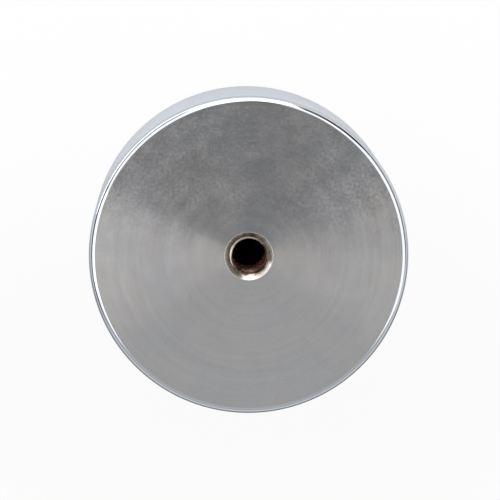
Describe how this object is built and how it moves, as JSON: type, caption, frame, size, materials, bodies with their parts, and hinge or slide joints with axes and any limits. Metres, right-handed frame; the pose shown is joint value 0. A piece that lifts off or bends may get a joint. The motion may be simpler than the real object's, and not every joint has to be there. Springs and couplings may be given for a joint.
{
  "type": "holding electromagnet",
  "caption": "Round plated-steel holding electromagnet: a pot core with a potted coil, a flat working face, a tapped hole in its back and a lead outlet in its side.",
  "frame": {"origin": "centre of the working face, which the magnet rests on", "axes": "+Z along the magnet's axis from the working face to the back face with the mounting thread, -Y towards the lead outlet"},
  "size_m": [0.065, 0.065, 0.03],
  "materials": {
    "plated_steel": "bright plating, turned in rings on the back face and polished on the side",
    "bobbin_nylon": "moulded",
    "enamelled_copper": "copper wire under clear enamel",
    "tape_film": "polyester film",
    "solder": "tin solder",
    "sleeving": "shrunk tube",
    "cast_resin": "cast and left as poured",
    "bush_plastic": "moulded"
  },
  "bodies": {
    "root": {"pot_core": "plated_steel", "coil_bobbin": "bobbin_nylon", "coil_winding": "enamelled_copper", "winding_tape": "tape_film", "start_tail": "enamelled_copper", "finish_tail": "enamelled_copper", "start_joint": "solder", "finish_joint": "solder", "start_sleeve": "sleeving", "finish_sleeve": "sleeving", "potting_resin": "cast_resin", "lead_bush": "bush_plastic"}
  },
  "joints": []
}
